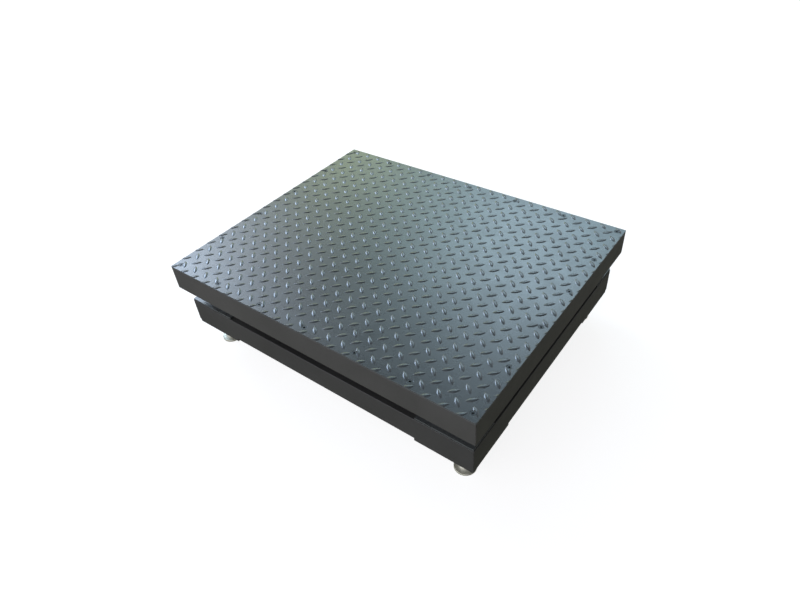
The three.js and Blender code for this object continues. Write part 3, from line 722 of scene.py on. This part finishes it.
def frame_welds(name, prefix, body, seed):
    """Beads up the inside of each mitre, and across it on both flanges."""
    low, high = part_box(f"{prefix}_front")
    half_y = -low.y
    half_x = high.x
    beads = []
    wall, flange = RAIL_WALL, RAIL_FLANGE
    for n, (sx, sy) in enumerate(CORNERS.values()):
        inner = (sx * (half_x - wall), sy * (half_y - wall))
        tip = (sx * (half_x - flange), sy * (half_y - flange))
        near = (sx * (half_x - wall - RAIL_FILLET), sy * (half_y - wall - RAIL_FILLET))
        bottom, top = (*inner, low.z + 9 * MM), (*inner, high.z - 9 * MM)
        beads.append(weld_bead(bottom, top, MITRE_BEAD, seed + 10 * n))
        for k, z in enumerate((low.z + wall, high.z - wall)):
            beads.append(weld_bead((*near, z), (*tip, z), FLANGE_BEAD, seed + 10 * n + k + 1))
    make_piece(name, joined(*beads), body, "frame_paint", look="weld", smooth=60)


def stitch(start, end, radius, count, length, seed):
    """Short beads spread evenly along a line."""
    start, end = Vector(start), Vector(end)
    way = (end - start).normalized()
    beads = []
    for i in range(count):
        centre = start.lerp(end, (i + 0.5) / count)
        beads.append(weld_bead(centre - way * length / 2, centre + way * length / 2, radius, seed + i))
    return joined(*beads)


def inner_corner(node, sx, sy):
    """x and y of the corner of a node's box that is nearest the middle."""
    low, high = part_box(node)
    return (low.x if sx > 0 else high.x), (low.y if sy > 0 else high.y)


def deck_welds():
    """Stitches that hold the ribs and corner plates."""
    beads = []
    seed = DECK_STITCH_SEED
    for i in range(1, 5):
        low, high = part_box(f"deck_rib_{i}")
        for x in (low.x, high.x):
            line = ((x, low.y + 20 * MM, high.z), (x, high.y - 20 * MM, high.z))
            beads.append(stitch(*line, PLATE_BEAD, count=6, length=45 * MM, seed=seed))
            seed += 20
        for y in (low.y, high.y):
            for x in (low.x + 1 * MM, high.x - 1 * MM):
                beads.append(weld_bead((x, y, high.z - 34 * MM), (x, y, high.z - 8 * MM), END_BEAD, seed))
                seed += 1
    for name, (sx, sy) in CORNERS.items():
        plate = f"deck_corner_plate_{name}"
        inner_x, inner_y = inner_corner(plate, sx, sy)
        flange_x = sx * (HALF_LENGTH - RAIL_FLANGE)
        flange_y = sy * (HALF_WIDTH - RAIL_FLANGE)
        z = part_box(plate)[0].z
        for k, start in enumerate(((flange_x, inner_y, z), (inner_x, flange_y, z))):
            line = (start, (flange_x, flange_y, z))
            beads.append(stitch(*line, PLATE_BEAD, count=2, length=40 * MM, seed=seed + 5 * k))
        seed += 20
    make_piece("deck_weld_stitches", joined(*beads), "deck", "inside_paint", look="weld", smooth=60)


def base_welds():
    """Stitches that hold the foot plates, mounting plates and cross members."""
    beads = []
    seed = BASE_STITCH_SEED
    rail_low, rail_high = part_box("base_rail_front")
    flange_y = -rail_low.y - RAIL_FLANGE
    flange_x = rail_high.x - RAIL_FLANGE
    for name, (sx, sy) in CORNERS.items():
        inner_x, inner_y = inner_corner(f"foot_plate_{name}", sx, sy)
        z = rail_low.z
        outer_x, outer_y = sx * (rail_high.x - 4 * MM), sy * (-rail_low.y - 4 * MM)
        across_y = (inner_x, sy * flange_y, z), (inner_x, outer_y, z)
        across_x = (sx * flange_x, inner_y, z), (outer_x, inner_y, z)
        beads.append(stitch(*across_y, PLATE_BEAD, count=1, length=24 * MM, seed=seed))
        beads.append(stitch(*across_x, PLATE_BEAD, count=1, length=24 * MM, seed=seed + 3))
        inner_x, _ = inner_corner(f"cell_mount_plate_{name}", sx, sy)
        z = rail_high.z
        outer_y = sy * (-rail_low.y - 6 * MM)
        across_y = (inner_x, sy * flange_y, z), (inner_x, outer_y, z)
        beads.append(stitch(*across_y, END_BEAD, count=1, length=22 * MM, seed=seed + 6))
        seed += 20
    for side in ("left", "right"):
        low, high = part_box(f"base_cross_member_{side}")
        for y, way in ((low.y, 1), (high.y, -1)):
            for x in (low.x, high.x):
                start, end = (x, y + way * 3 * MM, high.z), (x, y + way * 34 * MM, high.z)
                beads.append(weld_bead(start, end, END_BEAD, seed))
                seed += 1
    make_piece("base_weld_stitches", joined(*beads), "base", "inside_paint", look="weld", smooth=60)


# ---- Load cells ----


def middle(node):
    low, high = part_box(node)
    return (low + high) / 2


CELL_BORE = 8.6 * MM  # radii of the holes for the ball stud and the bolts
CELL_BOLT_BORE = 6.5 * MM
CELL_BOLT_OFFSETS = (74 * MM, 100 * MM)
CELL_POCKET_OFFSET = 40 * MM
CELL_POCKET_RADIUS = 11 * MM
CELL_WEB = 10 * MM
CELL_FREE_END = 15 * MM  # ends of the beam, measured from the load axis
CELL_FIXED_END = 115 * MM


def load_axis(name):
    centre = middle(f"ball_stud_{name}")
    return centre.x, centre.y


def cell_place(name):
    """Matrix that carries a cell built with its load axis at the origin to its corner."""
    x, y = load_axis(name)
    low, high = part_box(f"load_cell_{name}")
    turn = 0 if x > 0 else math.pi
    return Matrix.Translation((x, y, (low.z + high.z) / 2)) @ Matrix.Rotation(turn, 4, "Z")


def load_cell(name):
    low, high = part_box(f"load_cell_{name}")
    half = (high.z - low.z) / 2
    fixed, free = -CELL_FIXED_END, CELL_FREE_END
    outline = [(fixed, -half), (free, -half), (free, half), (fixed, half)]
    beam = mesh_object(f"load_cell_{name}_fine", prism(outline, -half, half))
    tidy_mesh(beam)
    tools = [rod(CELL_BORE, -2 * half, 2 * half, 40)]
    for offset in CELL_BOLT_OFFSETS:
        tools.append(shifted(rod(CELL_BOLT_BORE, -2 * half, 2 * half, 32), -offset, 0, 0))
    for side in (-1, 1):
        pocket = placed(rod(CELL_POCKET_RADIUS, 0, half, 40), spin(-90 * side, "X"))
        tools.append(shifted(pocket, -CELL_POCKET_OFFSET, side * CELL_WEB / 2, 0))
    cut(beam, joined(*tools))
    round_edges(beam, 0.7 * MM, angle=50)
    beam.data.transform(cell_place(name))
    finish_piece(beam, "base", "nickel", replaces=[f"load_cell_{name}"])


def hexagon_nut(radius, bore, low, high):
    """Nut with its corners turned down at both faces."""
    nut = mesh_object("nut", prism(regular(radius, 6), low, high))
    tidy_mesh(nut)
    drop = radius * (1 - math.cos(math.radians(30))) * 0.58
    flat = radius * math.cos(math.radians(30))
    barrel = [(0, low), (flat, low), (radius + 0.01 * MM, low + drop)]
    barrel += [(radius + 0.01 * MM, high - drop), (flat, high), (0, high)]
    cut(nut, turned(barrel, 48), "INTERSECT")
    if bore:
        cut(nut, rod(bore, low - MM, high + MM, 32))
    return taken(nut)


def cap_screw(head_radius, head_height, shank_radius, length):
    """Socket cap screw, the underside of its head at z = 0."""
    socket = head_radius * 0.55
    chamfer = head_height * 0.1
    profile = [(0, -length), (shank_radius - 0.8 * MM, -length), (shank_radius, 0.8 * MM - length)]
    profile += [(shank_radius, 0), (head_radius, 0), (head_radius, head_height - chamfer)]
    profile += [(head_radius - chamfer, head_height), (0, head_height)]
    screw = mesh_object("screw", turned(profile, 40))
    tidy_mesh(screw)
    cut(screw, prism(regular(socket, 6), head_height * 0.45, head_height + MM))
    return taken(screw)


def washer(inner, outer, thickness):
    edge = 0.3 * MM
    return ring_turned([
        (inner, 0), (outer - edge, 0), (outer, edge), (outer, thickness - edge),
        (outer - edge, thickness), (inner, thickness),
    ], 40)


def cell_bolts(name):
    """The two bolts through a cell and its mounting plate, with washers and nuts."""
    ring_height, nut_height = 2.2 * MM, 10 * MM
    bolt = cap_screw(head_radius=9 * MM, head_height=12 * MM, shank_radius=6 * MM, length=62 * MM)
    ring = washer(inner=6.4 * MM, outer=12 * MM, thickness=ring_height)
    lower_ring = placed(ring, Matrix.Scale(-1, 4, (0, 0, 1)))
    nut = hexagon_nut(radius=10.4 * MM, bore=6.1 * MM, low=0, high=nut_height)
    low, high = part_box(f"load_cell_{name}")
    plate_low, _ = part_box(f"cell_mount_plate_{name}")
    half = (high.z - low.z) / 2
    to_plate = plate_low.z - (low.z + high.z) / 2
    fittings = []
    for offset in CELL_BOLT_OFFSETS:
        fittings.append(shifted(ring, -offset, 0, half))
        fittings.append(shifted(bolt, -offset, 0, half + ring_height))
        fittings.append(shifted(lower_ring, -offset, 0, to_plate))
        fittings.append(shifted(nut, -offset, 0, to_plate - ring_height - nut_height))
    make_piece(f"cell_bolts_{name}", placed(joined(*fittings), cell_place(name)), "base", "zinc")


def cell_seals(name):
    """The sealant over the gauges, in the pocket on each side."""
    gap = 0.1 * MM  # between a seal and its pocket
    radius = CELL_POCKET_RADIUS - gap
    shoulder = CELL_POCKET_RADIUS - 1.2 * MM
    seal = turned([(0, 0), (radius, 0), (radius, 6.6 * MM), (shoulder, 7.0 * MM), (0, 7.4 * MM)], 40)
    seals = []
    for side in (-1, 1):
        disc = placed(seal, spin(-90 * side, "X"))
        seals.append(shifted(disc, -CELL_POCKET_OFFSET, side * (CELL_WEB / 2 + gap), 0))
    solid = placed(joined(*seals), cell_place(name))
    make_piece(f"cell_seals_{name}", solid, "base", "nickel", look="sealant")


def cell_gland(name):
    """The gland by which the cable leaves the fixed end."""
    nut = hexagon_nut(radius=8.2 * MM, bore=3.3 * MM, low=0, high=5 * MM)
    cap = ring_turned([
        (3.2 * MM, 5 * MM), (7.2 * MM, 5 * MM), (7.2 * MM, 9 * MM), (6.4 * MM, 12.5 * MM),
        (4.6 * MM, 14 * MM), (3.2 * MM, 14 * MM),
    ], 40)
    gland = shifted(placed(joined(nut, cap), spin(-90, "Y")), -CELL_FIXED_END, 0, 0)
    make_piece(f"cell_gland_{name}", placed(gland, cell_place(name)), "base", "nickel")


def ball_stud(name):
    x, y = load_axis(name)
    low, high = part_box(f"ball_stud_{name}")
    ball, shank, collar = 11 * MM, 8 * MM, 13 * MM  # radii
    edge = 0.4 * MM
    centre = high.z - ball
    collar_top = centre - 5.7 * MM
    neck = math.degrees(math.asin((collar_top - centre) / ball))
    collar_low = collar_top - 4 * MM
    profile = [(0, low.z), (shank - 1 * MM, low.z), (shank, low.z + 1 * MM), (shank, collar_low)]
    profile += [(collar - edge, collar_low), (collar, collar_low + edge), (collar, collar_top - edge)]
    profile += [(collar - edge, collar_top), (ball * math.cos(math.radians(neck)), collar_top)]
    profile += arc(ball, centre, neck, 90, 16)[1:]
    solid = shifted(turned(profile), x, y, 0)
    remade(f"ball_stud_{name}", solid, "base", "hard_steel")


def load_cup(name):
    x, y = load_axis(name)
    low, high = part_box(f"load_cup_{name}")
    stud_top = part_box(f"ball_stud_{name}")[1].z
    socket, gap, edge = 12 * MM, 0.3 * MM, 2 * MM
    centre = stud_top + gap - socket
    mouth = math.degrees(math.asin((low.z - centre) / socket))
    radius = (high.x - low.x) / 2
    profile = arc(socket, centre, 90, mouth, 14)
    profile += [(radius - edge, low.z), *arc(edge, low.z + edge, -90, 0, 4, radius - edge)]
    profile += [(radius, high.z - 0.4 * MM), (radius - 0.4 * MM, high.z), (0, high.z)]
    solid = shifted(turned(profile), x, y, 0)
    remade(f"load_cup_{name}", solid, "deck", "hard_steel")


# ---- Levelling feet ----

THREAD_PITCH = 2.5 * MM
THREAD_DEPTH = 1.4 * MM


def threaded(radius, low, high, sides=32):
    """Rod whose surface rises and falls along a helix, smooth for a turn at each end."""
    rows = int((high - low) / (THREAD_PITCH / 6))
    points = []
    for row in range(rows + 1):
        z = low + (high - low) * row / rows
        fade = min(1.0, min(z - low, high - z) / (1.5 * MM))
        for k in range(sides):
            phase = (z / THREAD_PITCH - k / sides) % 1.0
            groove = THREAD_DEPTH * min(1.0, 1.25 * abs(2 * phase - 1))
            r = radius - (groove if fade >= 1 else THREAD_DEPTH * (1 - fade) + groove * fade)
            a = 2 * math.pi * k / sides
            points.append(Vector((r * math.cos(a), r * math.sin(a), z)))
    return points, tube_faces(rows + 1, sides)


def foot(name):
    """Stud with its thread, hexagon and ball end, its pad, and its jam nut."""
    low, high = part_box(f"foot_stud_{name}")
    centre = middle(f"foot_stud_{name}")
    thread, ball, neck = 9.8 * MM, 9 * MM, 6 * MM  # radii
    ball_z = low.z + ball
    hex_low, hex_high = 31.5 * MM, 38.5 * MM
    hexagon = hexagon_nut(14 * MM, 0, hex_low, hex_high)
    neck_z = ball_z + math.sqrt(ball**2 - neck**2)
    profile = arc(ball, ball_z, -90, math.degrees(math.asin((neck_z - ball_z) / ball)), 16)
    profile += [(neck, hex_low + 1 * MM), (0, hex_low + 1 * MM)]
    stud = joined(turned(profile), hexagon, threaded(thread, hex_high - 1 * MM, high.z))
    place = (centre.x, centre.y, 0)
    remade(f"foot_stud_{name}", shifted(stud, *place), f"foot_{name}", "zinc", smooth=40)
    remade(f"foot_pad_{name}", shifted(foot_pad(name), *place), f"pad_{name}", "zinc", smooth=28)
    nut_low, nut_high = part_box(f"jam_nut_{name}")
    nut = hexagon_nut(radius=17.3 * MM, bore=10.2 * MM, low=nut_low.z, high=nut_high.z)
    remade(f"jam_nut_{name}", shifted(nut, *place), f"nut_{name}", "zinc", smooth=30)


def foot_pad(name):
    """Pressed pad: rounded rim, dished shoulder and a hub that is rolled in over the ball."""
    low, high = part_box(f"foot_pad_{name}")
    radius = (high.x - low.x) / 2
    rim, hub, top = 7 * MM, 16 * MM, high.z
    socket, socket_z = 9.6 * MM, 20 * MM
    mouth_radius = 8.4 * MM  # wide enough for the stud's neck when the pad tilts
    mouth = math.degrees(math.acos(mouth_radius / socket))
    profile = [(0, 0), (radius - 1.5 * MM, 0)]
    profile += arc(1.5 * MM, 1.5 * MM, -90, 0, 4, radius - 1.5 * MM)[1:]
    profile += arc(2.5 * MM, rim - 2.5 * MM, 0, 80, 5, radius - 2.5 * MM)
    profile += [(radius - 8 * MM, rim + 0.9 * MM), (hub + 6 * MM, rim + 3.0 * MM)]
    profile += [(hub + 2.5 * MM, rim + 5.5 * MM), (hub + 0.6 * MM, rim + 9 * MM), (hub, rim + 13 * MM)]
    profile += arc(2 * MM, top - 2 * MM, 0, 90, 5, hub - 2 * MM)
    profile += [(mouth_radius + 0.6 * MM, top), (mouth_radius, top - 0.6 * MM)]
    profile += arc(socket, socket_z, mouth, -90, 14)
    return turned(profile, 72)


# ---- Junction box ----

CABLE_RADIUS = 3 * MM


def junction_box():
    """The box, and its lid with four screws."""
    refined("junction_box", "base", "box_grey", 2.0 * MM)
    refined("junction_box_lid", "base", "box_grey", 1.5 * MM)
    low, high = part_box("junction_box_lid")
    screw = cap_screw(head_radius=4.2 * MM, head_height=3.2 * MM, shank_radius=2 * MM, length=4 * MM)
    inset = 10 * MM
    screws = []
    for sx, sy in CORNERS.values():
        x = high.x - inset if sx > 0 else low.x + inset
        screws.append(shifted(screw, x, sy * (high.y - inset), high.z))
    make_piece("junction_box_screws", joined(*screws), "base", "nickel")


def summing_board():
    """The board with its posts and terminal blocks, then the screws in the blocks and four trimmers."""
    refined("summing_board", "base", "circuit_board", 0.3 * MM)
    low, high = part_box("summing_board")
    centre = (low + high) / 2
    reach = (high - low) / 2
    screw = cap_screw(head_radius=1.7 * MM, head_height=0.9 * MM, shank_radius=0.9 * MM, length=0.6 * MM)
    body_height = 6 * MM  # of a trimmer
    trimmer = prism(rectangle(4.5 * MM, 2.2 * MM, 0.5 * MM, 2), 0, body_height)
    knob = cap_screw(head_radius=1.2 * MM, head_height=0.8 * MM, shank_radius=0.8 * MM, length=0.5 * MM)
    screws, trimmers = [], []
    for sx, sy in CORNERS.values():
        for k in range(4):
            x = centre.x + sx * (13 + 5.4 * k) * MM
            screws.append(shifted(screw, x, sy * (reach.y - 6 * MM), high.z))
        board_top = high.z - 9 * MM
        x, y = centre.x + sx * 20 * MM, sy * (reach.y - 22 * MM)
        trimmers.append(shifted(trimmer, x, y, board_top))
        trimmers.append(shifted(knob, x + 2.6 * MM, y, board_top + body_height))
    make_piece("summing_board_screws", joined(*screws), "base", "nickel")
    make_piece(
        "summing_board_trimmers", joined(*trimmers), "base", "circuit_board",
        look="board_fittings", bevel=0.15 * MM,
    )


def cable_gland(hexagon, dome, bore, length):
    """Gland along +Z from a wall at z = 0: a hexagon, a ribbed dome nut and its bore."""
    step = 6 * MM
    base = hexagon_nut(hexagon, bore, 0, step)
    ribs = 12
    dome_nut = ring_turned([
        (bore, step), (dome, step), (dome, length - 5 * MM), (dome - 1 * MM, length - 2.5 * MM),
        (dome - 3 * MM, length), (bore, length),
    ], 48)
    bars = []
    for i in range(ribs):
        a = 2 * math.pi * i / ribs
        start = Vector((dome * math.cos(a), dome * math.sin(a), step + 0.5 * MM))
        end = start + Vector((0, 0, length - step - 6 * MM))
        bars.append(swept([start, end], [0.8 * MM] * 2, 8))
    return joined(base, dome_nut, *bars)


def junction_box_glands():
    """The glands of the four cell cables."""
    _, box_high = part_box("junction_box")
    gland = cable_gland(hexagon=9 * MM, dome=7 * MM, bore=3.2 * MM, length=15 * MM)
    glands = []
    for name, (sx, sy) in CORNERS.items():
        cable_low, cable_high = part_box(f"cell_cable_{name}")
        x = cable_low.x + CABLE_RADIUS if sx > 0 else cable_high.x - CABLE_RADIUS
        outwards = placed(gland, spin(-90 * sy, "X"))
        glands.append(shifted(outwards, x, sy * box_high.y, middle("outlet_gland").z))
    make_piece("junction_box_glands", joined(*glands), "base", "nylon")


def outlet_gland():
    _, box_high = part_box("junction_box")
    _, gland_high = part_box("outlet_gland")
    gap = 0.3 * MM  # to the box
    length = gland_high.x - box_high.x - gap
    gland = cable_gland(hexagon=12 * MM, dome=9 * MM, bore=3.5 * MM, length=length)
    solid = shifted(placed(gland, spin(90, "Y")), box_high.x + gap, 0, middle("outlet_gland").z)
    remade("outlet_gland", solid, "base", "nylon")


def cell_cable(name):
    """The CAD cable made round by subdivision."""
    node = f"cell_cable_{name}"
    obj = cad_copy(node)
    tidy_mesh(obj, CAD_WELD)
    bm = open_mesh(obj)
    bmesh.ops.join_triangles(
        bm, faces=bm.faces, cmp_seam=False, cmp_sharp=False, cmp_uvs=False, cmp_vcols=False,
        cmp_materials=False, angle_face_threshold=math.radians(40), angle_shape_threshold=math.radians(60),
    )
    close_mesh(bm, obj)
    smooth = obj.modifiers.new("smooth", "SUBSURF")
    smooth.levels = 2
    smooth.render_levels = 2
    bake_modifiers(obj)
    finish_piece(obj, "base", "cable_jacket", replaces=[node], smooth=70)


# ---- Floor and light ----


def direction(azimuth, elevation):
    azimuth, elevation = math.radians(azimuth), math.radians(elevation)
    flat = math.cos(elevation)
    return Vector((flat * math.cos(azimuth), flat * math.sin(azimuth), math.sin(elevation)))


STAGE_RADIUS = 30.0
STAGE_SIDES = 48
FLOOR_GLOW = 0.84  # with the light that falls on it, just white


def unseen_by_light(obj):
    """Only the camera sees it: it neither lights the scale nor keeps light from it."""
    obj.visible_diffuse = False
    obj.visible_glossy = False
    obj.visible_shadow = False


def add_floor():
    """White floor that lights itself like a light table, so that only a faint shadow is left on it."""
    outline = [Vector((STAGE_RADIUS * x, STAGE_RADIUS * y, 0)) for x, y in regular(1, STAGE_SIDES)]
    floor = mesh_object("floor", (outline, [tuple(range(STAGE_SIDES))]))
    unseen_by_light(floor)
    n = Nodes("floor")
    n.shade(Base_Color=n.mix(n.noise(1.2), (0.40, 0.40, 0.40), (0.42, 0.42, 0.42)), Roughness=0.9)
    n.shade(Emission_Color=(1, 1, 1, 1), Emission_Strength=FLOOR_GLOW, Specular_IOR_Level=0.1)
    n.bump(n.noise(200), 0.05, 0.0005)
    floor.data.materials.append(MATERIALS["floor"])


def add_backdrop():
    """Pale dome behind everything, as bright as the floor far from the scale."""
    dome = mesh_object("backdrop", turned(arc(STAGE_RADIUS, 0, -2, 90, 24), STAGE_SIDES))
    dome.data.flip_normals()
    dome.data.shade_smooth()
    unseen_by_light(dome)
    n = Nodes("backdrop")
    n.shade(Base_Color=(0, 0, 0, 1), Roughness=1.0, Specular_IOR_Level=0.0, Emission_Strength=1.0)
    n.shade(Emission_Color=n.mix(n.noise(0.05), (0.97, 0.97, 0.97), (1.0, 1.0, 1.0)))
    dome.data.materials.append(MATERIALS["backdrop"])


GROUND = (0.100, 0.102, 0.084)  # what the sides of the scale reflect from below
HORIZON = (0.38, 0.39, 0.39)
SKY = (0.012, 0.012, 0.012)
# Heights of the colours: 0 is straight down, 0.5 is level and 1 is straight up
SKY_STOPS = ((0.0, GROUND), (0.49, GROUND), (0.51, HORIZON), (0.56, HORIZON), (0.66, SKY))
# Soft sources: azimuth and elevation in degrees, tightness, colour
SOURCES = [
    (168, 32, 50, (5.9, 7.9, 10.9)),
    (156, 32, 50, (2.4, 2.5, 2.6)),
    (134, 21, 90, (1.75, 2.05, 1.15)),
    (124, 34, 90, (0.85, 1.3, 1.4)),
    (114, 38, 90, (2.4, 3.1, 3.7)),
    (105, 32, 90, (0.5, 0.9, 1.0)),
    (75, 16, 8, (0.64, 0.67, 0.72)),
    (258, 20, 3.4, (1.80, 1.82, 1.98)),
]


def add_light():
    """One wide studio sky: a dark ground, a pale horizon, a dark top and a few soft sources."""
    world = bpy.data.worlds.new("studio")
    bpy.context.scene.world = world
    world.use_nodes = True
    sky = Tree(world.node_tree)
    way = sky.add("ShaderNodeTexCoord").outputs["Generated"]
    height = sky.vector_math("DOT_PRODUCT", way, (0, 0, 0.5))
    ramp = sky.add("ShaderNodeValToRGB", Fac=sky.math("ADD", height, 0.5))
    for _ in range(len(SKY_STOPS) - 2):
        ramp.color_ramp.elements.new(0.5)
    for element, (place, colour) in zip(ramp.color_ramp.elements, SKY_STOPS):
        element.position = place
        element.color = (*colour, 1)
    total = ramp.outputs["Color"]
    for azimuth, elevation, tightness, colour in SOURCES:
        facing = sky.vector_math("DOT_PRODUCT", way, direction(azimuth, elevation))
        lobe = sky.math("POWER", sky.math("MAXIMUM", facing, 0.0), tightness)
        total = sky.vector_math("ADD", total, sky.vector_math("SCALE", colour, lobe))
    sky.set(sky.tree.nodes["Background"], "Color", total)
    bpy.context.scene.view_settings.view_transform = "Standard"


# ---- Assembly ----

add_camera()
make_materials()
deck_plate()
deck_tread()
deck_screws()
for side_name in SIDES:
    rail(f"deck_rail_{side_name}", "deck")
    rail(f"base_rail_{side_name}", "base")
for rib in range(1, 5):
    refined(f"deck_rib_{rib}", "deck", "inside_paint", 1.2 * MM)
for member in ("left", "right"):
    refined(f"base_cross_member_{member}", "base", "inside_paint", 1.2 * MM)
frame_welds("deck_frame_welds", "deck_rail", "deck", DECK_FRAME_SEED)
frame_welds("base_frame_welds", "base_rail", "base", BASE_FRAME_SEED)
deck_welds()
base_welds()
for corner in CORNERS:
    refined(f"deck_corner_plate_{corner}", "deck", "inside_paint", 0.8 * MM)
    refined(f"cell_mount_plate_{corner}", "base", "inside_paint", 0.6 * MM, look="deck_paint")
    # Foot plates take the darker copy of the frame paint, a painted shade.
    refined(f"foot_plate_{corner}", "base", "frame_paint", 1.0 * MM, look="shaded_base_paint")
    load_cell(corner)
    load_cup(corner)
    ball_stud(corner)
    cell_cable(corner)
    foot(corner)
for corner in CORNERS:
    cell_bolts(corner)
    cell_seals(corner)
    cell_gland(corner)
junction_box()
summing_board()
junction_box_glands()
outlet_gland()
add_floor()
add_backdrop()
add_light()
